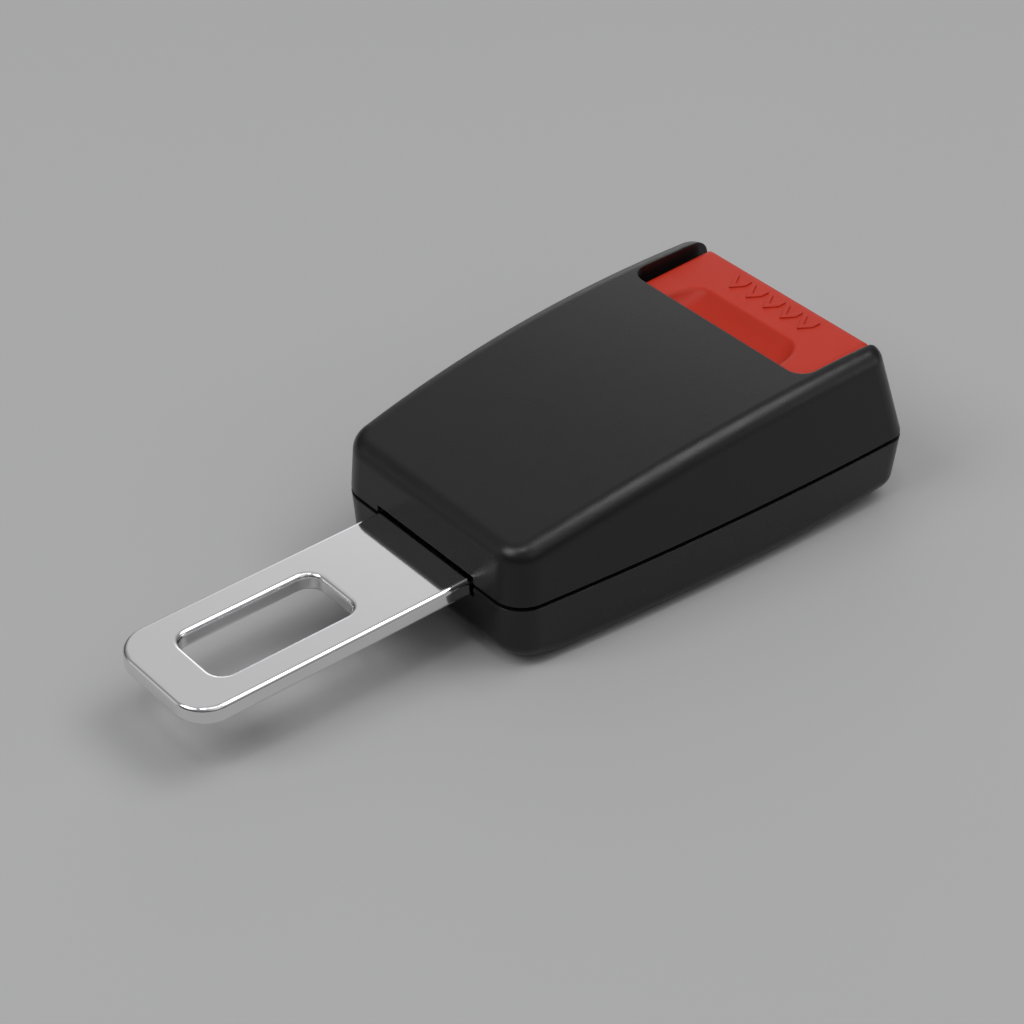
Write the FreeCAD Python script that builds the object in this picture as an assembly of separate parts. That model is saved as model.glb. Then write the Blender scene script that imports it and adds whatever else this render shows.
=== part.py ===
import FreeCAD, Part
import math
import os
from FreeCAD import Placement, Rotation, Vector

# Seat belt extender, in millimetres.
# While it is modelled, x = 0 is the front face of the housing, where the tongue comes out.
# +X runs to the mouth that takes the car's own tongue, +Z is up, and z = 0 is the resting plane.
# The finished pieces move along X, so that the origin is below the middle of the whole part.

# Tongue plate, the driving size: a type A tongue
tongue_width = 21.5
tongue_thickness = 3.0
tongue_reach = 47.85
tongue_tip_radius = 5.3
tongue_land = 7.4
window_length = 24.2
window_width = 11.3
window_radius = 2.5
tongue_edge = 0.75
tongue_inside = 17.8
tongue_rise = 0.9
slot_side_gap = 0.5
slot_top_gap = 0.65

# Housing
housing_length = 75.95
front_width = 41.0
rear_width = 49.4
side_bulge = 1.2
wall = 2.2
parting_height = 11.6
upper_draft_front = 2.5
upper_draft_rear = 12.0
front_face_draft = 2.5
lower_draft = 3.5
lower_rear_lean = 5.0
front_corner_radius = 5.0
rear_corner_radius = 3.8
bottom_edge_radius = 3.0
front_roll = 3.0
roll_front_end = 10.0
rear_roll = 1.9
roll_rear_start = 42.0
top_edge_radius = 3.0
rear_lean = 12.0
roof_front = 9.2
roof_middle = 14.5
roof_rear = 15.4
groove = 0.8
lip_height = 1.6
lip_share = 0.5
slip = 0.15

# Button bay in the rear of the upper shell; a depth is measured from the rear end
bay_depth = 19.45
bay_half_width = 19.1
bay_corner_radius = 3.0
bay_rib = 1.3
bay_edge_thickness = 1.2

# Steel frame
steel = 2.5
frame_wall = 2.0
frame_inner_width = 30.0
frame_start = 3.0
frame_neck_end = 18.4
frame_neck_width = 23.6
frame_high_end = 47.3
frame_end_depth = 11.95
frame_low_rise = 5.75
frame_high_rise = 11.45
frame_bend_radius = 2.0
steel_edge = 0.45
rivet_place = 9.0
rivet_spacing = 13.0
rivet_radius = 2.5
rivet_head_radius = 4.0
rivet_head_height = 1.25

# Channel that the inserted tongue slides in
channel_height = 4.8
channel_width = 24.4

# Latch
pivot_place = 22.0
pivot_rise = 3.35
pin_radius = 1.7
pin_head_radius = 3.0
pin_head_height = 1.0
pin_clearance = 0.05
pin_seat_clearance = 0.02
lug_radius = 3.2
lug_thickness = 2.4
lug_gap = 0.4
latch_width = 20.4
latch_neck_start = 28.0
latch_gap = 0.45
latch_lift_angle = 0.22
ear_place = 40.0
ear_gap = 0.6
dog_place = 40.2
dog_length = 5.6
dog_width = 10.2
dog_depth = 0.75
dog_undercut = 7.0
latch_end = 46.5
dog_slot_gap = 0.7

# Latch spring and the strap that backs it
latch_spring_place = 28.5
latch_spring_radius = 3.1
latch_spring_wire = 0.55
latch_spring_turns = 3.0
strap_thickness = 1.2
strap_start = 24.0
strap_end = 34.0
tab_length = 4.0
tab_above = 0.4
peg_radius = 1.9
peg_height = 0.8

# Ejector
ejector_travel = 10.0
ejector_half_width = 11.2
ejector_height = 4.4
ejector_front = 30.5
ejector_web = 2.1
spring_slot_width = 4.8
rail_side = 6.0
rail_width = 2.0
rail_place = 31.0
rail_length = 5.0
rail_depth = 1.7
slider_gap = 0.1
ejector_spring_radius = 1.75
ejector_spring_wire = 0.5
ejector_spring_turns = 10.0
seat_tab_width = 8.0
seat_tab_thickness = 1.5
seat_tab_height = 4.3

# Button
button_travel = 6.5
button_half_width = 17.9
button_front_depth = 21.95
button_wall = 1.2
button_roof = 2.2
button_sink_front = 1.85
button_sink_rear = 1.2
button_inset = 0.4
button_edge_radius = 0.8
button_bottom_rise = 6.2
arm_inner = 11.7
arm_outer = 14.7
arm_lead = 2.0
arm_gap = 4.3
arm_lift = 0.3
ramp_gap = 0.15
flange_half_width = 19.9
flange_length = 2.2
scoop_radius = 12.0
scoop_depth = 2.6
scoop_half_length = 12.9
scoop_end_radius = 4.0
button_cavity_rise = 10.8
button_cavity_depth = 5.45
button_pocket_depth = 12.45
flange_rise = 7.5
flange_height = 5.0

# Button springs and the mouth guide that carries their posts
button_spring_radius = 1.95
button_spring_wire = 0.5
button_spring_turns = 8.0
button_spring_side = 7.5
button_spring_rise = 8.4
post_depth = 19.95
post_thickness = 2.0
post_width = 5.0
guide_depth = 11.65
guide_half_width = 18.7
guide_nose_half_width = 14.0
guide_roof = 1.2
guide_shelf_depth = 20.95
guide_shelf_half_width = 11.4
guide_body_end_depth = 3.35
guide_pocket_end_depth = 4.95
guide_nose_drop = 1.6
guide_inset = 0.4
mouth_flare = 1.2
play = 0.2

# Ribs, bosses and supports moulded in the shells
rib_thickness = 1.6
frame_rib_places = (16.5, 30.0, 50.0)
rear_rib_depths = (15.95, 7.95)
frame_rib_half_width = 14.0
gusset_places = (28.0, 45.0, 60.0)
boss_places = ((10.0, 14.6), (40.0, 19.9))
boss_radius = 2.4
boss_pin_radius = 1.2
boss_pin_height = 2.2
hold_down_side = 10.6
hold_down_start = 25.0
hold_down_end = 33.0

# Heights and places that follow from the sizes above
tongue_top = parting_height + tongue_rise
channel_floor = tongue_top - tongue_thickness
channel_top = channel_floor + channel_height
frame_bottom = channel_floor - steel
frame_outer = frame_inner_width / 2 + frame_wall
frame_inner = frame_inner_width / 2
frame_top = channel_floor + frame_high_rise
latch_bottom = channel_top + latch_gap
latch_top = latch_bottom + steel
pivot_height = channel_floor + pivot_rise
button_bottom = channel_floor + button_bottom_rise
spring_height = channel_floor + button_spring_rise
bay_start = housing_length - bay_depth
button_front = housing_length - button_front_depth
button_cavity_end = housing_length - button_cavity_depth
button_pocket_start = housing_length - button_pocket_depth
guide_start = housing_length - guide_depth
guide_shelf_start = housing_length - guide_shelf_depth
guide_body_end = housing_length - guide_body_end_depth
guide_pocket_end = housing_length - guide_pocket_end_depth
post_place = housing_length - post_depth
frame_end = housing_length - frame_end_depth
arm_start = ear_place - arm_lead
arm_back = guide_start - arm_gap
origin_shift = Vector(tongue_reach - (tongue_reach + housing_length) / 2, 0, 0)
up = Vector(0, 0, 1)
along = Vector(1, 0, 0)
across = Vector(0, 1, 0)


def box(x0, x1, y0, y1, z0, z1):
    return Part.makeBox(x1 - x0, y1 - y0, z1 - z0, Vector(x0, y0, z0))


def centred_box(x0, x1, half_width, z0, z1):
    return box(x0, x1, -half_width, half_width, z0, z1)


def rod(start, direction, radius, length):
    return Part.makeCylinder(radius, length, start, direction)


def prism(points, y0, y1):
    corners = [Vector(x, y0, z) for x, z in points]
    face = Part.Face(Part.makePolygon(corners + corners[:1]))
    return face.extrude(Vector(0, y1 - y0, 0))


def both_sides(shape):
    return [shape, shape.mirror(Vector(0, 0, 0), across)]


def fuse(shapes):
    return shapes[0].multiFuse(shapes[1:]).removeSplitter()


def round_edges(shape, radius, chosen):
    edges = [edge for edge in shape.Edges if chosen(edge)]
    return shape.makeFillet(radius, edges)


def is_upright(edge):
    ends = [vertex.Point for vertex in edge.Vertexes]
    if len(ends) < 2:
        return False
    run = ends[1] - ends[0]
    return abs(run.z) > 0.8 * run.Length and run.Length > 0.1


def circle_through(a, b, c):
    # Centre and radius of the circle through three points of a plane
    (ax, ay), (bx, by), (cx, cy) = a, b, c
    d = 2 * (ax * (by - cy) + bx * (cy - ay) + cx * (ay - by))
    aa = ax * ax + ay * ay
    bb = bx * bx + by * by
    cc = cx * cx + cy * cy
    ux = (aa * (by - cy) + bb * (cy - ay) + cc * (ay - by)) / d
    uy = (aa * (cx - bx) + bb * (ax - cx) + cc * (bx - ax)) / d
    return ux, uy, math.hypot(ax - ux, ay - uy)


half_length = housing_length / 2
side_circle = circle_through(
    (0, front_width / 2),
    (half_length, (front_width + rear_width) / 4 + side_bulge),
    (housing_length, rear_width / 2))

roof_rear_place = housing_length - roof_rear * math.tan(math.radians(rear_lean))
roof_circle = circle_through(
    (0, parting_height + roof_front),
    (roof_rear_place / 2, parting_height + roof_middle),
    (roof_rear_place, parting_height + roof_rear))


def half_width(x, inset=0.0):
    cx, cy, radius = side_circle
    return cy + math.sqrt((radius - inset) ** 2 - (x - cx) ** 2)


def roof_height(x, inset=0.0):
    cx, cz, radius = roof_circle
    return cz + math.sqrt((radius - inset) ** 2 - (x - cx) ** 2)


def plan_wire(inset, z, leans=(0.0, 0.0, 0.0, 0.0)):
    # Outline of the housing seen from above: straight ends and bowed sides. The leans draw in the
    # front, the sides at the front, the sides at the rear, and the rear.
    lean_front, lean_side_front, lean_side_rear, lean_rear = leans
    x0 = inset + lean_front
    x1 = housing_length - inset - lean_rear
    xm = (x0 + x1) / 2
    corners = {}
    for side in (-1, 1):
        corners[side] = []
        for x in (x0, xm, x1):
            lean = lean_side_front + (lean_side_rear - lean_side_front) * x / housing_length
            corners[side].append(Vector(x, side * (half_width(x, inset) - lean), z))
    left = corners[1]
    right = corners[-1]
    return Part.Wire([
        Part.makeLine(right[0], left[0]),
        Part.Arc(left[0], left[1], left[2]).toShape(),
        Part.makeLine(left[2], right[2]),
        Part.Arc(right[2], right[1], right[0]).toShape()])


def sharp_block(inset, z0, z1, foot_leans=(0.0, 0.0, 0.0, 0.0), top_leans=(0.0, 0.0, 0.0, 0.0)):
    # The outline between two heights, drawn in by the leans
    return Part.makeLoft([plan_wire(inset, z0, foot_leans), plan_wire(inset, z1, top_leans)], True, True)


def round_front_corners(body, inset):
    return round_edges(body, front_corner_radius - inset,
                       lambda e: is_upright(e) and e.CenterOfMass.x < half_length)


def round_rear_corners(body, inset):
    return round_edges(body, rear_corner_radius - inset / 2,
                       lambda e: is_upright(e) and e.CenterOfMass.x > half_length)


def plan_block(inset, z0, z1, foot_leans=(0.0, 0.0, 0.0, 0.0)):
    body = sharp_block(inset, z0, z1, foot_leans)
    return round_rear_corners(round_front_corners(body, inset), inset)


def rear_plane_place(z, inset=0.0):
    rise = (z - parting_height) * math.tan(math.radians(rear_lean))
    return housing_length - inset / math.cos(math.radians(rear_lean)) - rise


def under_roof(inset, z_low):
    # Everything below the domed roof, as a slab across Y
    x_start = -front_corner_radius
    x_end = housing_length + wall
    y0 = -rear_width
    start = Vector(x_start, y0, roof_height(x_start, inset))
    middle = Vector(half_length, y0, roof_height(half_length, inset))
    end = Vector(x_end, y0, roof_height(x_end, inset))
    foot = Vector(x_end, y0, z_low)
    corner = Vector(x_start, y0, z_low)
    wire = Part.Wire([
        Part.Arc(start, middle, end).toShape(),
        Part.makeLine(end, foot),
        Part.makeLine(foot, corner),
        Part.makeLine(corner, start)])
    return Part.Face(wire).extrude(Vector(0, 2 * rear_width, 0))


def lower_profile(inset):
    # Everything above the underside, which is flat in the middle and rolls up at both ends
    y0 = -rear_width
    front_start = Vector(-front_corner_radius, y0, inset + front_roll)
    front_mid_x = roll_front_end * 0.4
    front_curve = front_roll * (1 - front_mid_x / roll_front_end) ** 2
    front_edge = Vector(0, y0, inset + front_roll)
    flat_start = Vector(roll_front_end, y0, inset)
    flat_end = Vector(roll_rear_start, y0, inset)
    rear_run = housing_length - roll_rear_start
    rear_mid = Vector(roll_rear_start + rear_run / 2, y0, inset + rear_roll / 4)
    rear_edge = Vector(housing_length, y0, inset + rear_roll)
    top = parting_height + wall
    wire = Part.Wire([
        Part.makeLine(front_start, front_edge),
        Part.Arc(front_edge, Vector(front_mid_x, y0, inset + front_curve), flat_start).toShape(),
        Part.makeLine(flat_start, flat_end),
        Part.Arc(flat_end, rear_mid, rear_edge).toShape(),
        Part.makeLine(rear_edge, Vector(housing_length, y0, top)),
        Part.makeLine(Vector(housing_length, y0, top), Vector(-front_corner_radius, y0, top)),
        Part.makeLine(Vector(-front_corner_radius, y0, top), front_start)])
    return Part.Face(wire).extrude(Vector(0, 2 * rear_width, 0))


def upper_block(inset):
    # Modelled as one half and mirrored
    height = 1.5 * roof_rear
    drafts = (front_face_draft, upper_draft_front, upper_draft_rear, rear_lean)
    leans = [height * math.tan(math.radians(angle)) for angle in drafts]
    body = sharp_block(inset, parting_height, parting_height + height, top_leans=leans)
    body = round_rear_corners(round_front_corners(body, inset), inset)
    half_space = box(-housing_length, 2 * housing_length, 0, rear_width, 0, 4 * height)
    body = body.common(under_roof(inset, parting_height)).common(half_space)

    def along_roof(edge):
        middle = edge.valueAt((edge.FirstParameter + edge.LastParameter) / 2)
        on_roof = abs(middle.z - roof_height(middle.x, inset)) < 0.05
        return on_roof and middle.y > front_width / 4 and edge.Length > half_length

    side_edge = [edge for edge in body.Edges if along_roof(edge)]
    body = body.makeFillet(top_edge_radius - inset, side_edge)
    return body.fuse(body.mirror(Vector(0, 0, 0), across)).removeSplitter()


def lower_block(inset):
    drop = parting_height - inset
    drafts = (lower_draft, lower_draft, lower_draft, lower_rear_lean)
    leans = [drop * math.tan(math.radians(angle)) for angle in drafts]
    body = plan_block(inset, inset, parting_height, leans)
    body = body.common(lower_profile(inset))
    foot_radius = max(bottom_edge_radius - inset, 0.5)
    foot_top = inset + max(front_roll, rear_roll) + 0.01
    return round_edges(body, foot_radius, lambda e: is_rim(e, foot_top))


def is_rim(edge, height):
    # An edge of the underside's outline, not a seam across it
    box_of = edge.BoundBox
    across_whole = box_of.YLength > front_width / 2 and box_of.XLength < 0.01
    at_end = box_of.XMax < front_corner_radius or box_of.XMin > housing_length - 3 * front_corner_radius
    return box_of.ZMax < height and (at_end or not across_whole)


def rim_ring(inset_out, inset_in, z0, z1):
    return plan_block(inset_out, z0, z1).cut(plan_block(inset_in, z0, z1))


def make_tongue_plate():
    tip = -tongue_reach
    plate = centred_box(tip, tongue_inside, tongue_width / 2, channel_floor, tongue_top)
    plate = round_edges(plate, tongue_tip_radius, lambda e: is_upright(e) and e.CenterOfMass.x < 0)
    plate = round_edges(plate, window_radius, lambda e: is_upright(e) and e.CenterOfMass.x > 0)
    window_start = tip + tongue_land
    window = centred_box(window_start, window_start + window_length, window_width / 2,
                         channel_floor - 1, tongue_top + 1)
    window = round_edges(window, window_radius, is_upright)
    plate = plate.cut(window)
    plate = round_edges(plate, tongue_edge, lambda e: e.BoundBox.ZLength < 0.01)
    return plate.cut(rivet_shanks(pin_seat_clearance))


def rivet_shanks(clearance):
    shanks = []
    for side in (-1, 1):
        start = Vector(rivet_place, side * rivet_spacing / 2, frame_bottom)
        shanks.append(rod(start, up, rivet_radius + clearance, tongue_top - frame_bottom))
    return Part.makeCompound(shanks)


def make_tongue_rivets():
    rivets = []
    for side in (-1, 1):
        x = rivet_place
        y = side * rivet_spacing / 2
        shank = rod(Vector(x, y, frame_bottom), up, rivet_radius, tongue_top - frame_bottom)
        top_head = rod(Vector(x, y, tongue_top), up, rivet_head_radius, rivet_head_height)
        top_head = round_edges(top_head, 0.7 * rivet_head_height,
                               lambda e: e.BoundBox.ZMin > tongue_top + 0.1)
        foot = Vector(x, y, frame_bottom - rivet_head_height)
        low_head = rod(foot, up, rivet_head_radius, rivet_head_height)
        low_head = round_edges(low_head, 0.7 * rivet_head_height,
                               lambda e: e.BoundBox.ZMax < frame_bottom - 0.1)
        rivets.append(fuse([shank, top_head, low_head]))
    return Part.makeCompound(rivets)


def make_buckle_frame():
    low_top = channel_floor + frame_low_rise
    neck = centred_box(frame_start, frame_neck_end + 1, frame_neck_width / 2, frame_bottom, channel_floor)
    neck = round_edges(neck, window_radius, lambda e: is_upright(e) and e.CenterOfMass.x < frame_neck_end)
    floor = centred_box(frame_neck_end, frame_end, frame_outer, frame_bottom, channel_floor)
    step = frame_high_rise - frame_low_rise
    walls = []
    for side in (-1, 1):
        y0, y1 = sorted((side * frame_inner, side * frame_outer))
        walls.append(prism([
            (frame_neck_end, frame_bottom),
            (frame_end, frame_bottom),
            (frame_end, low_top),
            (frame_high_end, low_top),
            (frame_high_end - step / 2, frame_top),
            (frame_neck_end + step / 2, frame_top),
            (frame_neck_end, low_top)], y0, y1))
        middle = (strap_start + strap_end) / 2
        walls.append(box(middle - tab_length / 2, middle + tab_length / 2, y0, y1,
                         frame_top - 1, frame_top + strap_thickness + tab_above))
    body = fuse([floor, neck] + walls)

    def is_outer_bend(edge):
        b = edge.BoundBox
        return b.YLength < 0.01 and b.ZLength < 0.01 and abs(abs(b.YMin) - frame_outer) < 0.01 \
            and abs(b.ZMin - frame_bottom) < 0.01

    def is_inner_bend(edge):
        b = edge.BoundBox
        return b.YLength < 0.01 and b.ZLength < 0.01 and abs(abs(b.YMin) - frame_inner) < 0.01 \
            and abs(b.ZMin - channel_floor) < 0.01

    body = round_edges(body, frame_bend_radius, is_outer_bend)
    body = round_edges(body, steel_edge, is_inner_bend)
    seat = centred_box(frame_neck_end, frame_neck_end + seat_tab_thickness, seat_tab_width / 2,
                       frame_bottom, channel_floor + seat_tab_height)
    seat_end = frame_neck_end + seat_tab_thickness
    lanced = centred_box(seat_end, seat_end + seat_tab_height, seat_tab_width / 2,
                         frame_bottom - 1, channel_floor + 1)
    dog_slot = centred_box(dog_place - 1, latch_end + dog_slot_gap, dog_width / 2 + dog_slot_gap,
                           frame_bottom - 1, channel_floor + 1)
    dog_slot = round_edges(dog_slot, steel_edge, is_upright)
    cutters = [lanced, dog_slot, rivet_shanks(pin_seat_clearance)]
    for side in (-1, 1):
        y = side * rail_side
        reach = rail_width / 2 + play
        cutters.append(box(rail_place - ejector_travel - 0.5, rail_place + rail_length + play,
                           y - reach, y + reach, frame_bottom - 1, channel_floor + 1))
        cutters.append(rod(Vector(pivot_place, side * frame_inner - side * 1, pivot_height), across * side,
                           pin_radius + pin_seat_clearance, frame_wall + 2))
    body = body.fuse(seat)
    for cutter in cutters:
        body = body.cut(cutter)
    return body.removeSplitter()


def lifted(x, z, angle=latch_lift_angle):
    # Where a point of the latch is once the latch has turned up by the angle
    dx = x - pivot_place
    dz = z - pivot_height
    turned_x = dx * math.cos(angle) - dz * math.sin(angle)
    turned_z = dx * math.sin(angle) + dz * math.cos(angle)
    return pivot_place + turned_x, pivot_height + turned_z


def make_latch_plate():
    lug_outer = frame_inner - lug_gap
    lug_inner = lug_outer - lug_thickness
    plate = centred_box(pivot_place - lug_radius + play, latch_neck_start, lug_outer, latch_bottom, latch_top)
    neck = centred_box(latch_neck_start - 1, latch_end, latch_width / 2, latch_bottom, latch_top)
    neck = round_edges(neck, steel / 2.2, lambda e: is_upright(e) and e.CenterOfMass.x > ear_place)
    ear_height = latch_bottom + steel / 2
    ear_half = frame_inner - ear_gap
    ears = rod(Vector(ear_place, -ear_half, ear_height), across, steel / 2, 2 * ear_half)
    lean = (latch_bottom - channel_floor + dog_depth) * math.tan(math.radians(dog_undercut))
    dog_bottom = channel_floor - dog_depth
    dog = prism([
        (dog_place - play, dog_bottom),
        (dog_place - play + dog_length / 3, dog_bottom),
        (latch_end - play, latch_bottom - 1),
        (latch_end - play, latch_bottom + 1),
        (dog_place - play + lean, latch_bottom + 1),
        (dog_place - play + lean, latch_bottom)], -dog_width / 2, dog_width / 2)
    peg = rod(Vector(latch_spring_place, 0, latch_top), up, peg_radius, peg_height)
    pieces = [plate, neck, ears, dog, peg]
    for side in (-1, 1):
        y0, y1 = sorted((side * lug_inner, side * lug_outer))
        pieces.append(rod(Vector(pivot_place, y0, pivot_height), across, lug_radius, lug_thickness))
        pieces.append(box(pivot_place - lug_radius, pivot_place + lug_radius, y0, y1, pivot_height, latch_top))
    body = fuse(pieces)
    hole = rod(Vector(pivot_place, -frame_outer, pivot_height), across, pin_radius + pin_clearance,
               2 * frame_outer)
    return body.cut(hole)


def make_latch_pins():
    # Two headed stub pins, one in each wall of the frame
    lug_inner = frame_inner - lug_gap - lug_thickness
    pins = []
    for side in (-1, 1):
        start = Vector(pivot_place, side * lug_inner, pivot_height)
        shank = rod(start, across * side, pin_radius, frame_outer - lug_inner)
        head_start = Vector(pivot_place, side * frame_outer, pivot_height)
        head = rod(head_start, across * side, pin_head_radius, pin_head_height)
        far = frame_outer + pin_head_height
        head = round_edges(head, 0.6 * pin_head_height,
                           lambda e: abs(abs(e.CenterOfMass.y) - far) < 0.01)
        pins.append(fuse([shank, head]))
    return Part.makeCompound(pins)


def make_coil(start, direction, radius, wire, turns, length):
    # A coil spring from start along direction, whose wire has eight flats
    rise = length - wire
    pitch = rise / turns
    helix = Part.Wire(Part.makeHelix(pitch, rise, radius).Edges)
    tangent = Vector(0, 2 * math.pi * radius, pitch).normalize()
    sideways = tangent.cross(along)
    points = []
    for k in range(8):
        angle = 2 * math.pi * (k + 0.5) / 8
        points.append(along * (radius + wire / 2 * math.cos(angle)) + sideways * (wire / 2 * math.sin(angle)))
    section = Part.makePolygon(points + points[:1])
    coil = helix.makePipeShell([section], True, True)
    coil.translate(Vector(0, 0, wire / 2))
    coil.Placement = Placement(start, Rotation(up, direction)).multiply(coil.Placement)
    return coil


def make_latch_spring():
    start = Vector(latch_spring_place, 0, latch_top)
    return make_coil(start, up, latch_spring_radius, latch_spring_wire, latch_spring_turns,
                     frame_top - latch_top)


def make_spring_strap():
    top = frame_top + strap_thickness
    strap = centred_box(strap_start, strap_end, frame_outer, frame_top, top)
    strap = round_edges(strap, strap_thickness, is_upright)
    middle = (strap_start + strap_end) / 2
    for side in (-1, 1):
        y0, y1 = sorted((side * (frame_inner - pin_clearance), side * (frame_outer + 1)))
        strap = strap.cut(box(middle - tab_length / 2 - pin_clearance, middle + tab_length / 2 + pin_clearance,
                              y0, y1, frame_top - 1, top + 1))
    peg = rod(Vector(latch_spring_place, 0, frame_top), up * -1, peg_radius, peg_height)
    return fuse([strap, peg])


def make_ejector():
    bottom = channel_floor + slider_gap
    top = bottom + ejector_height
    web_end = dog_place - 2 * play - slider_gap
    contact = dog_place - play - tongue_land + ejector_travel
    body = centred_box(ejector_front, contact, ejector_half_width, bottom, top)
    body = round_edges(body, 1.0, is_upright)
    dog_gap = centred_box(web_end, contact + 1, dog_width / 2 + play * 3, bottom - 1, top + 1)
    spring_slot = centred_box(ejector_front - 1, web_end - ejector_web, spring_slot_width / 2,
                              bottom - 1, top + 1)
    body = body.cut(dog_gap).cut(spring_slot)
    rails = []
    for side in (-1, 1):
        y = side * rail_side
        rails.append(box(rail_place, rail_place + rail_length, y - rail_width / 2, y + rail_width / 2,
                         channel_floor - rail_depth, bottom + 0.5))
    return fuse([body] + rails)


def make_ejector_spring():
    start = Vector(frame_neck_end + seat_tab_thickness, 0, channel_floor + slider_gap + ejector_height / 2)
    finish = dog_place - 2 * play - slider_gap - ejector_web
    return make_coil(start, along, ejector_spring_radius, ejector_spring_wire, ejector_spring_turns,
                     finish - start.x)


def button_top(x):
    # The button's top rises from its sunk front edge to the rear
    z_front = roof_height(bay_start) - button_sink_front
    z_rear = roof_height(roof_rear_place) - button_sink_rear
    return z_front + (z_rear - z_front) * (x - bay_start) / (roof_rear_place - bay_start)


def make_release_button():
    z_rear = button_top(roof_rear_place)
    profile = [
        (button_front, button_bottom),
        (rear_plane_place(button_bottom, button_inset), button_bottom),
        (rear_plane_place(z_rear, button_inset), z_rear),
        (button_front, button_top(button_front))]
    block = prism(profile, -button_half_width, button_half_width)

    def is_top_or_rear(edge):
        b = edge.BoundBox
        at_top_side = b.YLength < 0.01 and b.ZMin > button_top(button_front) - 0.1 and b.XLength > 5
        at_rear = b.XMin > roof_rear_place - 2 and b.ZMax > z_rear - 0.1
        return at_top_side or at_rear

    block = round_edges(block, button_edge_radius, is_top_or_rear)
    cavity_top = channel_floor + button_cavity_rise
    inner_half = button_half_width - button_wall
    cavity = centred_box(button_front - 1, button_cavity_end, inner_half, button_bottom - 1, cavity_top)
    pocket = prism([
        (button_pocket_start, cavity_top - 1),
        (button_cavity_end, cavity_top - 1),
        (button_cavity_end, button_top(button_cavity_end) - button_roof),
        (button_pocket_start, button_top(button_pocket_start) - button_roof)], -inner_half, inner_half)
    block = block.cut(cavity).cut(pocket)

    # Thumb scoop: a round-ended roller lying across the front edge of the bay
    centre_height = button_top(bay_start) + scoop_radius - scoop_depth
    scoop = rod(Vector(bay_start, -scoop_half_length, centre_height), across, scoop_radius,
                2 * scoop_half_length)
    block = block.cut(round_edges(scoop, scoop_end_radius, lambda e: e.BoundBox.YLength < 0.01))

    # Arms with the ramps that lift the latch by its ears
    ear_x, ear_z = ear_place, latch_bottom + steel / 2
    up_x, up_z = lifted(ear_x, ear_z)
    slope = (up_z - ear_z) / (button_travel + up_x - ear_x)
    low_top = latch_bottom - ramp_gap
    ramp_start = ear_place + (steel / 2 + ramp_gap) * math.tan(math.atan(slope) / 2)
    ramp_run = button_travel + up_x - ear_x + steel / 2
    ramp_top = low_top + ramp_run * slope
    arm_rise_place = (ramp_start + ramp_run + arm_back) / 2
    arm = prism([
        (arm_start, channel_floor + arm_lift),
        (arm_back, channel_floor + arm_lift),
        (arm_back, cavity_top + 0.5),
        (arm_rise_place, cavity_top + 0.5),
        (arm_rise_place, ramp_top),
        (ramp_start + ramp_run, ramp_top),
        (ramp_start, low_top),
        (arm_start, low_top)], arm_inner, arm_outer)
    flange_low = channel_floor + flange_rise
    flange = box(button_front, button_front + flange_length, inner_half, flange_half_width,
                 flange_low, flange_low + flange_height)
    return fuse([block] + both_sides(arm) + both_sides(flange))


def make_button_spring(side):
    start = Vector(post_place + post_thickness, side * button_spring_side, spring_height)
    return make_coil(start, along, button_spring_radius, button_spring_wire, button_spring_turns,
                     button_cavity_end - start.x)


def make_mouth_guide():
    top = channel_top + guide_roof
    body = centred_box(guide_start, guide_body_end, guide_half_width, frame_bottom, top)
    edge = parting_height + groove / 2
    bezel = prism([
        (guide_body_end - 1, edge),
        (rear_plane_place(edge, guide_inset), edge),
        (rear_plane_place(top, guide_inset), top),
        (guide_body_end - 1, top)], -guide_half_width, guide_half_width)
    nose_bottom = channel_floor - guide_nose_drop
    lean = (parting_height - nose_bottom) * math.tan(math.radians(lower_rear_lean))
    rear = housing_length - guide_inset
    nose = prism([
        (guide_body_end - 1, nose_bottom),
        (rear - lean, nose_bottom),
        (rear, edge),
        (guide_body_end - 1, edge)], -guide_nose_half_width, guide_nose_half_width)
    shelf = centred_box(guide_shelf_start, guide_start + 1, guide_shelf_half_width, channel_top, top)
    pieces = [body, bezel, nose, shelf]
    for side in (-1, 1):
        y = side * button_spring_side
        pieces.append(box(post_place, post_place + post_thickness, y - post_width / 2, y + post_width / 2,
                          channel_top, spring_height + button_spring_radius))
        pieces.append(rod(Vector(post_place + post_thickness - 0.5, y, spring_height), along,
                          button_spring_radius - button_spring_wire, 3))
    guide = fuse(pieces)
    half = channel_width / 2
    passage = centred_box(guide_start - 1, housing_length + 1, half, channel_floor, channel_top)
    flare_start = rear - 2 * mouth_flare

    def section(x, grow):
        corners = [
            Vector(x, -half - grow, channel_floor - grow), Vector(x, half + grow, channel_floor - grow),
            Vector(x, half + grow, channel_top + grow), Vector(x, -half - grow, channel_top + grow)]
        return Part.makePolygon(corners + corners[:1])

    flare = Part.makeLoft([section(flare_start, 0), section(rear + mouth_flare, 1.5 * mouth_flare)], True, True)
    guide = guide.cut(passage).cut(flare)
    pocket = box(guide_start - 1, guide_pocket_end, half + rib_thickness, guide_half_width - rib_thickness,
                 frame_bottom + rib_thickness, top - rib_thickness)
    for cutter in both_sides(pocket):
        guide = guide.cut(cutter)
    return guide


def tongue_slot():
    return centred_box(-1, wall + 1, tongue_width / 2 + slot_side_gap, channel_floor - slider_gap,
                       tongue_top + slot_top_gap)


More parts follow.
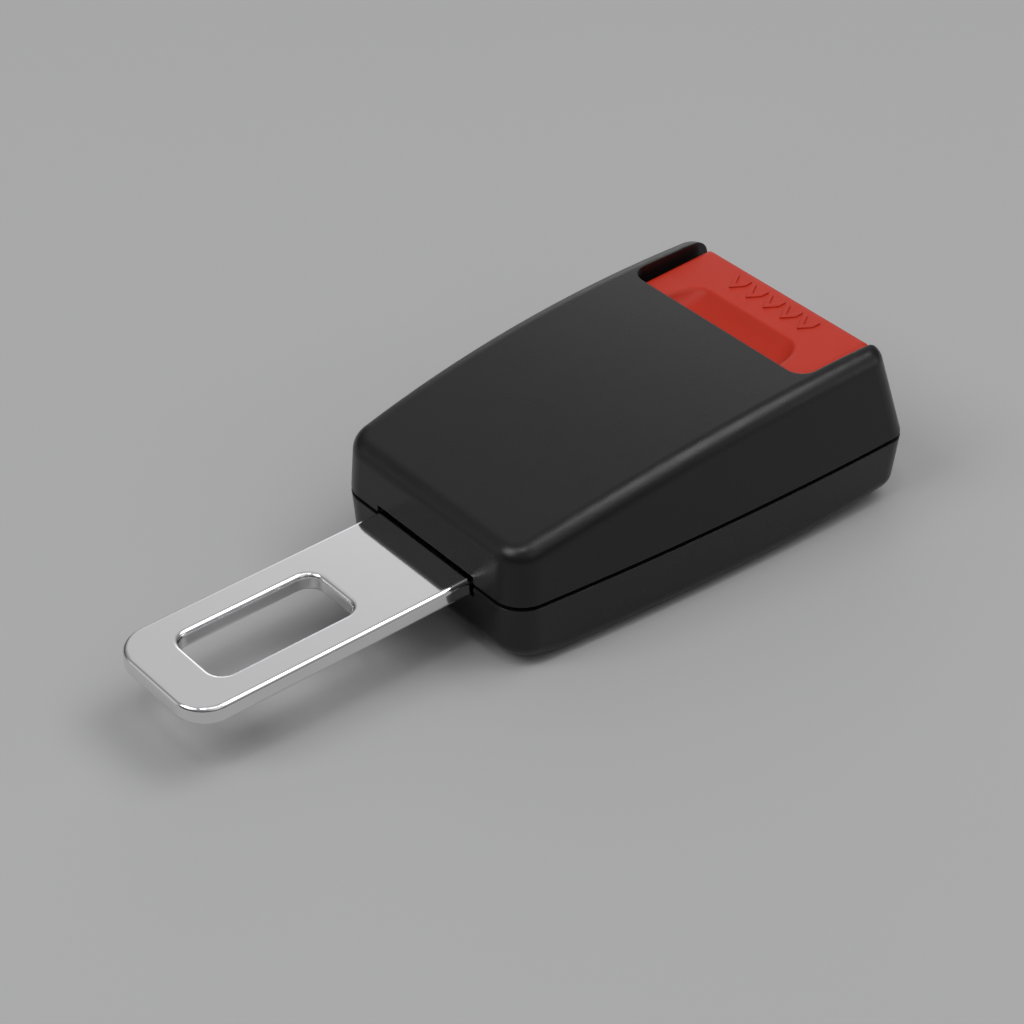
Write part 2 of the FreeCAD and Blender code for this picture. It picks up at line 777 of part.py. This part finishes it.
def make_lower_shell():
    shell = lower_block(0.0).cut(lower_block(wall))
    skin = wall * lip_share
    rim = parting_height - groove / 2
    shell = shell.cut(rim_ring(-1.0, skin, rim, parting_height + 1))
    lip = rim_ring(skin + slip, wall, parting_height - groove, parting_height + lip_height)
    for x, y in boss_places:
        upper_boss = rod(Vector(x, y, parting_height), up, boss_radius + slip, 2 * lip_height)
        for cutter in both_sides(upper_boss):
            lip = lip.cut(cutter)
    additions = [lip]
    rear_ribs = tuple(housing_length - depth for depth in rear_rib_depths)
    for x in frame_rib_places + rear_ribs:
        additions.append(centred_box(x - rib_thickness / 2, x + rib_thickness / 2, frame_rib_half_width,
                                     wall / 2, frame_bottom))
    for x in gusset_places:
        gusset = box(x - rib_thickness / 2, x + rib_thickness / 2, frame_outer + slip,
                     half_width(x, wall) + slip, wall, parting_height - 1)
        additions.extend(both_sides(gusset.common(lower_block(wall / 2))))
    for x, y in boss_places:
        post = rod(Vector(x, y, wall / 2), up, boss_radius, parting_height - wall / 2)
        pin = rod(Vector(x, y, wall / 2), up, boss_pin_radius, parting_height + boss_pin_height - wall / 2)
        additions.extend(both_sides(post.common(lower_block(wall / 2)).fuse(pin)))
    shell = fuse([shell] + additions)
    shell = shell.cut(tongue_slot().fuse(centred_box(-1, wall + 1, tongue_width / 2 + slot_side_gap,
                                                     channel_floor, parting_height + 2 * lip_height)))
    nose_bottom = channel_floor - guide_nose_drop
    window = centred_box(guide_body_end - 1, housing_length + 1, guide_nose_half_width + play,
                         nose_bottom - play, parting_height + 2 * lip_height)
    over_guide = centred_box(guide_body_end - 5, housing_length + 1, bay_half_width + play,
                             parting_height - groove / 2, parting_height + 2 * lip_height)
    return shell.cut(window).cut(over_guide)


def make_upper_shell():
    shell = upper_block(0.0).cut(upper_block(wall))
    skin = wall * lip_share
    below = centred_box(-1, housing_length + 1, rear_width, 0, parting_height + groove / 2)
    rabbet = plan_block(skin, parting_height, parting_height + lip_height + slip)
    shell = shell.cut(below).cut(rabbet)
    additions = []
    rib = box(bay_start, rear_plane_place(parting_height, wall / 2), bay_half_width, bay_half_width + bay_rib,
              parting_height + lip_height + slip, roof_height(half_length) + 5)
    additions.extend(both_sides(rib.common(upper_block(wall / 2))))
    for x, y in boss_places:
        post = rod(Vector(x, y, parting_height + slip), up, boss_radius, 1.4 * roof_rear)
        post = post.common(upper_block(wall / 2))
        hole = rod(Vector(x, y, parting_height), up, boss_pin_radius + slip, boss_pin_height + slip)
        additions.extend(both_sides(post.cut(hole)))
    bar = box(hold_down_start, hold_down_end, hold_down_side - rib_thickness / 2,
              hold_down_side + rib_thickness / 2, frame_top + strap_thickness + slip, roof_height(half_length) + 5)
    additions.extend(both_sides(bar.common(upper_block(wall / 2))))
    shell = fuse([shell] + additions)
    shell = shell.cut(tongue_slot())
    pocket = centred_box(button_front - button_travel - 1, bay_start + bay_corner_radius + 1, bay_half_width,
                         parting_height, 3 * parting_height)
    shell = shell.cut(pocket.common(under_roof(bay_edge_thickness, parting_height)))
    bay = centred_box(bay_start, housing_length + 5, bay_half_width, parting_height - 1, 4 * parting_height)
    bay = round_edges(bay, bay_corner_radius, lambda e: is_upright(e) and e.CenterOfMass.x < half_length * 1.9)
    return shell.cut(bay)


def save(name, shape):
    shape = shape.copy()
    shape.translate(origin_shift)
    shape.exportStep("parts/" + name + ".step")
    print(name, len(shape.Solids), shape.isValid(), round(shape.Volume, 1))


os.makedirs("parts", exist_ok=True)
save("upper_shell", make_upper_shell())
save("lower_shell", make_lower_shell())
save("tongue_plate", make_tongue_plate())
save("tongue_rivets", make_tongue_rivets())
save("buckle_frame", make_buckle_frame())
save("latch_plate", make_latch_plate())
save("latch_pins", make_latch_pins())
save("latch_spring", make_latch_spring())
save("spring_strap", make_spring_strap())
save("ejector", make_ejector())
save("ejector_spring", make_ejector_spring())
save("release_button", make_release_button())
save("button_spring_left", make_button_spring(1))
save("button_spring_right", make_button_spring(-1))
save("mouth_guide", make_mouth_guide())
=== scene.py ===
import math

import bmesh
import bpy
from mathutils import Matrix, Vector


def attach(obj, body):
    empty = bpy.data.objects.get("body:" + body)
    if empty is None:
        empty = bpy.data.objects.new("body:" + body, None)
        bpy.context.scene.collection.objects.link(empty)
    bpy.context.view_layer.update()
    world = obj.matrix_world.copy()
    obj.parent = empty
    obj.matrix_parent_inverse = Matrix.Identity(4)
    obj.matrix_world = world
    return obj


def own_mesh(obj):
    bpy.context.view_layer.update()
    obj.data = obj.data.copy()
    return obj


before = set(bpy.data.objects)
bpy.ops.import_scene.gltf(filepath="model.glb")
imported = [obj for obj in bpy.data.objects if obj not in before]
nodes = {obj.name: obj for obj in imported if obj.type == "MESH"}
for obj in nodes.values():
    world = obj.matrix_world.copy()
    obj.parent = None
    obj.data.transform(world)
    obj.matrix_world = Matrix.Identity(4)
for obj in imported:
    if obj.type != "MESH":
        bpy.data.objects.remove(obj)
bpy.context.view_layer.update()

# Lengths are in metres and angles in degrees, unless a name or comment says otherwise

# Camera: where the photograph was taken from. The aim point is on the tongue's top, near the housing's front.
CAMERA_AZIMUTH = math.radians(-39.72)
CAMERA_ELEVATION = math.radians(37.01)
CAMERA_DISTANCE = 0.41242
CAMERA_AIM = Vector((-0.0144, 0.0, 0.0125))
CAMERA_SIDE_STEP = 0.013009
CAMERA_UP_STEP = 0.004846
CAMERA_LENS = 99.58
SENSOR_WIDTH = 36.0
CLIP_START = 0.01

# Colours are linear
GREY_FLOOR = (0.385, 0.385, 0.386, 1)
SHELL_BLACK = (0.006, 0.006, 0.006, 1)
BUTTON_RED = (0.44, 0.021, 0.006, 1)
CHROME = (0.81, 0.807, 0.82, 1)
ZINC = (0.52, 0.52, 0.53, 1)
SPRING_STEEL = (0.42, 0.42, 0.43, 1)
ACETAL = (0.72, 0.71, 0.66, 1)
WHITE = (1, 1, 1, 1)

# Surfaces: clouds vary the colour, and wear varies the roughness. Noise scales are in waves per metre.
NOISE_LOW = 0.3
NOISE_HIGH = 0.7
BEVEL_SAMPLES = 6
PLASTIC_CLOUDS = 90.0
PLASTIC_WEAR = 300.0
PLASTIC_WEAR_STEP = 0.04
PLASTIC_IOR = 1.5
METAL_CLOUDS = 120.0
METAL_WEAR = 500.0
METAL_WEAR_SHARE = 0.25

# Light: a soft dome with brighter patches (azimuth, elevation, strength),
# and square lamps (azimuth, elevation, size, power)
DOME_STRENGTH = 0.42
PATCH_SHARPNESS = 25.0
SKY_PATCHES = ((50, 12, 1.3), (140, 12, 0.6), (-40, 12, 1.3), (48, 28, 0.45), (-90, 36, 0.6),
               (-80, 75, 1.2), (78, 52, 0.3))
LAMPS = {"left": (168, 50, 0.70, 7.1), "right": (-25, 61, 0.75, 5.6), "low_right": (-55, 49, 0.5, 1.1),
         "top": (-150, 73, 0.25, 1.8)}
LAMP_DISTANCE = 1.5

# Floor
FLOOR_HALF = 3.0
FLOOR_DROP = 0.0001
FLOOR_CLOUDS = 9.0
FLOOR_VARIATION = 0.012
FLOOR_ROUGHNESS = 0.75
FLOOR_SPECULAR = 0.2

# Springs: the joint that presses each one, the axis (0 is X, 2 is Z), how far it is pressed together at
# the joint's limit, and where its fixed end is
SPRINGS = {"button_spring_left": ("button_press", 0, 0.0065, 0.04395),
           "button_spring_right": ("button_press", 0, 0.0065, 0.04395),
           "ejector_spring": ("ejector_slide", 0, 0.0100, 0.00585),
           "latch_spring": ("latch_lift", 2, 0.0023, 0.02095)}

# Raised marks on the button. Their sides are upright as far as the shoulder, and then slope in to the top.
MARK_COUNT = 5
MARK_PLACE = 0.0548
MARK_SPACING = 0.0038
MARK_LENGTH = 0.0036
MARK_WIDTH = 0.0028
MARK_STROKE = 0.00055
MARK_HEIGHT = 0.00022
MARK_ROOT = -0.0002
MARK_SHOULDER = 0.6
MARK_TOP_SHARE = 0.72
ABOVE_BUTTON = 0.1


def new_material(name):
    material = bpy.data.materials.new(name)
    material.use_nodes = True
    tree = material.node_tree
    shader = tree.nodes["Principled BSDF"]
    return material, tree, shader


def add_node(tree, kind, **sockets):
    node = tree.nodes.new(kind)
    for socket, value in sockets.items():
        node.inputs[socket].default_value = value
    return node


def noise(tree, scale, detail, roughness=0.5):
    place = tree.nodes.new("ShaderNodeTexCoord")
    texture = add_node(tree, "ShaderNodeTexNoise", Scale=scale, Detail=detail, Roughness=roughness)
    tree.links.new(place.outputs["Object"], texture.inputs["Vector"])
    return texture


def spread(tree, source, low, high):
    # Maps a noise value, which mostly lies between two middle values, to the range low to high
    node = tree.nodes.new("ShaderNodeMapRange")
    node.inputs["From Min"].default_value = NOISE_LOW
    node.inputs["From Max"].default_value = NOISE_HIGH
    node.inputs["To Min"].default_value = low
    node.inputs["To Max"].default_value = high
    tree.links.new(source.outputs["Fac"], node.inputs["Value"])
    return node


def soften_edges(tree, shader, radius, grain_scale, grain_depth):
    # Rounds the look of sharp edges, and lays a fine grain over the surface
    bevel = add_node(tree, "ShaderNodeBevel", Radius=radius)
    bevel.samples = BEVEL_SAMPLES
    grain = noise(tree, grain_scale, detail=3.0, roughness=0.6)
    bump = add_node(tree, "ShaderNodeBump", Strength=1.0, Distance=grain_depth)
    tree.links.new(grain.outputs["Fac"], bump.inputs["Height"])
    tree.links.new(bevel.outputs["Normal"], bump.inputs["Normal"])
    tree.links.new(bump.outputs["Normal"], shader.inputs["Normal"])


def tinted(tree, shader, colour, texture, variation):
    # The colour, a little darker and lighter over the surface
    mix = tree.nodes.new("ShaderNodeMix")
    mix.data_type = "RGBA"
    dark = [channel * (1 - variation) for channel in colour[:3]] + [1]
    light = [min(1.0, channel * (1 + variation)) for channel in colour[:3]] + [1]
    mix.inputs["A"].default_value = dark
    mix.inputs["B"].default_value = light
    tree.links.new(texture.outputs["Fac"], mix.inputs["Factor"])
    tree.links.new(mix.outputs["Result"], shader.inputs["Base Color"])


def moulded_plastic(name, colour, roughness, grain_scale, grain_depth, edge=0.00025, variation=0.12,
                    specular=0.35):
    material, tree, shader = new_material(name)
    tinted(tree, shader, colour, noise(tree, PLASTIC_CLOUDS, detail=4.0), variation)
    wear = noise(tree, PLASTIC_WEAR, detail=4.0)
    rough = spread(tree, wear, roughness - PLASTIC_WEAR_STEP, roughness + PLASTIC_WEAR_STEP)
    tree.links.new(rough.outputs["Result"], shader.inputs["Roughness"])
    shader.inputs["IOR"].default_value = PLASTIC_IOR
    shader.inputs["Specular IOR Level"].default_value = specular
    soften_edges(tree, shader, edge, grain_scale, grain_depth)
    return material


def plated_metal(name, colour, roughness, variation, edge, ripple_scale, ripple_depth):
    material, tree, shader = new_material(name)
    shader.inputs["Metallic"].default_value = 1.0
    tinted(tree, shader, colour, noise(tree, METAL_CLOUDS, detail=4.0), variation)
    wear = noise(tree, METAL_WEAR, detail=5.0)
    rough = spread(tree, wear, roughness * (1 - METAL_WEAR_SHARE), roughness * (1 + METAL_WEAR_SHARE))
    tree.links.new(rough.outputs["Result"], shader.inputs["Roughness"])
    soften_edges(tree, shader, edge, ripple_scale, ripple_depth)
    return material


def dress(material, *names):
    for name in names:
        slots = nodes[name].data.materials
        slots.clear()
        slots.append(material)


shell_plastic = moulded_plastic("shell_plastic", SHELL_BLACK, roughness=0.30,
                                grain_scale=4200.0, grain_depth=0.000015)
guide_plastic = moulded_plastic("guide_plastic", SHELL_BLACK, roughness=0.32,
                                grain_scale=2500.0, grain_depth=0.00001)
button_plastic = moulded_plastic("button_plastic", BUTTON_RED, roughness=0.42, variation=0.05, specular=0.25,
                                 grain_scale=3000.0, grain_depth=0.00001, edge=0.0011)
mark_plastic = moulded_plastic("mark_plastic", BUTTON_RED, roughness=0.42, variation=0.05, specular=0.25,
                               grain_scale=3000.0, grain_depth=0.00001, edge=0.00008)
acetal = moulded_plastic("acetal", ACETAL, roughness=0.38, grain_scale=2000.0, grain_depth=0.00001)
chrome = plated_metal("chrome", CHROME, roughness=0.05, variation=0.02, edge=0.00015,
                      ripple_scale=500.0, ripple_depth=0.000002)
zinc = plated_metal("zinc", ZINC, roughness=0.34, variation=0.15, edge=0.0002,
                    ripple_scale=1500.0, ripple_depth=0.00001)
spring_steel = plated_metal("spring_steel", SPRING_STEEL, roughness=0.25, variation=0.08, edge=0.0001,
                            ripple_scale=2500.0, ripple_depth=0.000004)

dress(shell_plastic, "upper_shell", "lower_shell")
dress(guide_plastic, "mouth_guide")
dress(button_plastic, "release_button")
dress(acetal, "ejector")
dress(chrome, "tongue_plate")
dress(zinc, "tongue_rivets", "buckle_frame", "latch_plate", "latch_pins", "spring_strap")
dress(spring_steel, "latch_spring", "ejector_spring", "button_spring_left", "button_spring_right")


def on_button(x, y):
    # The point of the button's top that lies below a place, and the surface's normal there
    button = nodes["release_button"]
    found, point, normal, _ = button.ray_cast(Vector((x, y, ABOVE_BUTTON)), Vector((0, 0, -1)))
    assert found
    return point, normal


def chevron(length, width, stroke):
    # A V that points along -X, as one closed outline
    half = width / 2
    slant = stroke * math.hypot(length, half) / half
    return [(-length / 2, 0), (length / 2 - slant, half), (length / 2, half),
            (-length / 2 + slant, 0), (length / 2, -half), (length / 2 - slant, -half)]


def make_marks():
    mesh = bpy.data.meshes.new("button_marks")
    bm = bmesh.new()
    levels = ((MARK_ROOT, 1.0), (MARK_HEIGHT * MARK_SHOULDER, 1.0), (MARK_HEIGHT, MARK_TOP_SHARE))
    for index in range(MARK_COUNT):
        y = (index - (MARK_COUNT - 1) / 2) * MARK_SPACING
        point, normal = on_button(MARK_PLACE, y)
        turn = Vector((0, 0, 1)).rotation_difference(normal).to_matrix().to_4x4()
        place = Matrix.Translation(point) @ turn
        rings = []
        for height, share in levels:
            outline = chevron(MARK_LENGTH, MARK_WIDTH, MARK_STROKE * share)
            shift = MARK_STROKE * (1 - share) / 2
            rings.append([bm.verts.new(place @ Vector((px + shift, py, height))) for px, py in outline])
        count = len(rings[0])
        for low, high in zip(rings, rings[1:]):
            for k in range(count):
                n = (k + 1) % count
                bm.faces.new((low[k], low[n], high[n], high[k]))
        bm.faces.new(rings[-1])
        bm.faces.new(list(reversed(rings[0])))
    bmesh.ops.recalc_face_normals(bm, faces=bm.faces)
    bm.to_mesh(mesh)
    bm.free()
    mesh.materials.append(mark_plastic)
    marks = bpy.data.objects.new("button_marks", mesh)
    bpy.context.scene.collection.objects.link(marks)
    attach(marks, "button")


def shorten_springs():
    for name, (joint, axis, travel, fixed_end) in SPRINGS.items():
        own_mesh(nodes[name])


def make_floor():
    mesh = bpy.data.meshes.new("floor")
    corners = [(-FLOOR_HALF, -FLOOR_HALF, 0), (FLOOR_HALF, -FLOOR_HALF, 0),
               (FLOOR_HALF, FLOOR_HALF, 0), (-FLOOR_HALF, FLOOR_HALF, 0)]
    mesh.from_pydata(corners, [], [(0, 1, 2, 3)])
    floor = bpy.data.objects.new("floor", mesh)
    floor.location.z = -FLOOR_DROP
    bpy.context.scene.collection.objects.link(floor)
    material, tree, shader = new_material("floor_paper")
    tinted(tree, shader, GREY_FLOOR, noise(tree, FLOOR_CLOUDS, detail=3.0), FLOOR_VARIATION)
    shader.inputs["Roughness"].default_value = FLOOR_ROUGHNESS
    shader.inputs["Specular IOR Level"].default_value = FLOOR_SPECULAR
    mesh.materials.append(material)


def direction(azimuth, elevation):
    # The unit vector towards a place in the studio, from angles in degrees, where azimuth 0 is +X
    turn = math.radians(azimuth)
    rise = math.radians(elevation)
    return Vector((math.cos(turn) * math.cos(rise), math.sin(turn) * math.cos(rise), math.sin(rise)))


def add_math(tree, operation, first, second):
    # second is a plain number or another node's output
    node = tree.nodes.new("ShaderNodeMath")
    node.operation = operation
    tree.links.new(first, node.inputs[0])
    if isinstance(second, float):
        node.inputs[1].default_value = second
    else:
        tree.links.new(second, node.inputs[1])
    return node.outputs["Value"]


def sky_patch(tree, towards, sharpness, strength):
    # A soft round patch of light: strength at its middle, falling off with the angle from it
    place = tree.nodes.new("ShaderNodeTexCoord")
    angle = tree.nodes.new("ShaderNodeVectorMath")
    angle.operation = "DOT_PRODUCT"
    angle.inputs[1].default_value = towards
    tree.links.new(place.outputs["Generated"], angle.inputs[0])
    above = add_math(tree, "MAXIMUM", angle.outputs["Value"], 0.0)
    falloff = add_math(tree, "POWER", above, sharpness)
    return add_math(tree, "MULTIPLY", falloff, strength)


def make_world():
    world = bpy.data.worlds.new("studio")
    bpy.context.scene.world = world
    world.use_nodes = True
    tree = world.node_tree
    total = sky_patch(tree, Vector((0, 0, 1)), 1.0, DOME_STRENGTH)
    for azimuth, elevation, strength in SKY_PATCHES:
        patch = sky_patch(tree, direction(azimuth, elevation), PATCH_SHARPNESS, strength)
        total = add_math(tree, "ADD", total, patch)
    background = tree.nodes["Background"]
    background.inputs["Color"].default_value = WHITE
    tree.links.new(total, background.inputs["Strength"])


def soft_light(name, azimuth, elevation, size, power):
    data = bpy.data.lights.new(name, "AREA")
    data.shape = "SQUARE"
    data.size = size
    data.energy = power
    lamp = bpy.data.objects.new(name, data)
    lamp.location = direction(azimuth, elevation) * LAMP_DISTANCE
    lamp.rotation_euler = (-lamp.location).to_track_quat("-Z", "Y").to_euler()
    bpy.context.scene.collection.objects.link(lamp)


def make_camera():
    flat = math.cos(CAMERA_ELEVATION)
    towards = Vector((math.sin(CAMERA_AZIMUTH) * flat, -math.cos(CAMERA_AZIMUTH) * flat,
                      math.sin(CAMERA_ELEVATION)))
    right = Vector((math.cos(CAMERA_AZIMUTH), math.sin(CAMERA_AZIMUTH), 0))
    upward = towards.cross(right)
    place = CAMERA_AIM + towards * CAMERA_DISTANCE + right * CAMERA_SIDE_STEP + upward * CAMERA_UP_STEP
    data = bpy.data.cameras.new("camera")
    data.lens = CAMERA_LENS
    data.sensor_width = SENSOR_WIDTH
    data.sensor_fit = "HORIZONTAL"
    data.clip_start = CLIP_START
    camera = bpy.data.objects.new("camera", data)
    axes = Matrix((right, upward, towards)).transposed()
    camera.matrix_world = Matrix.Translation(place) @ axes.to_4x4()
    bpy.context.scene.collection.objects.link(camera)
    bpy.context.scene.camera = camera


make_marks()
shorten_springs()
make_floor()
make_world()
for lamp_name, lamp in LAMPS.items():
    soft_light(lamp_name, *lamp)
make_camera()
bpy.context.scene.view_settings.view_transform = "Standard"
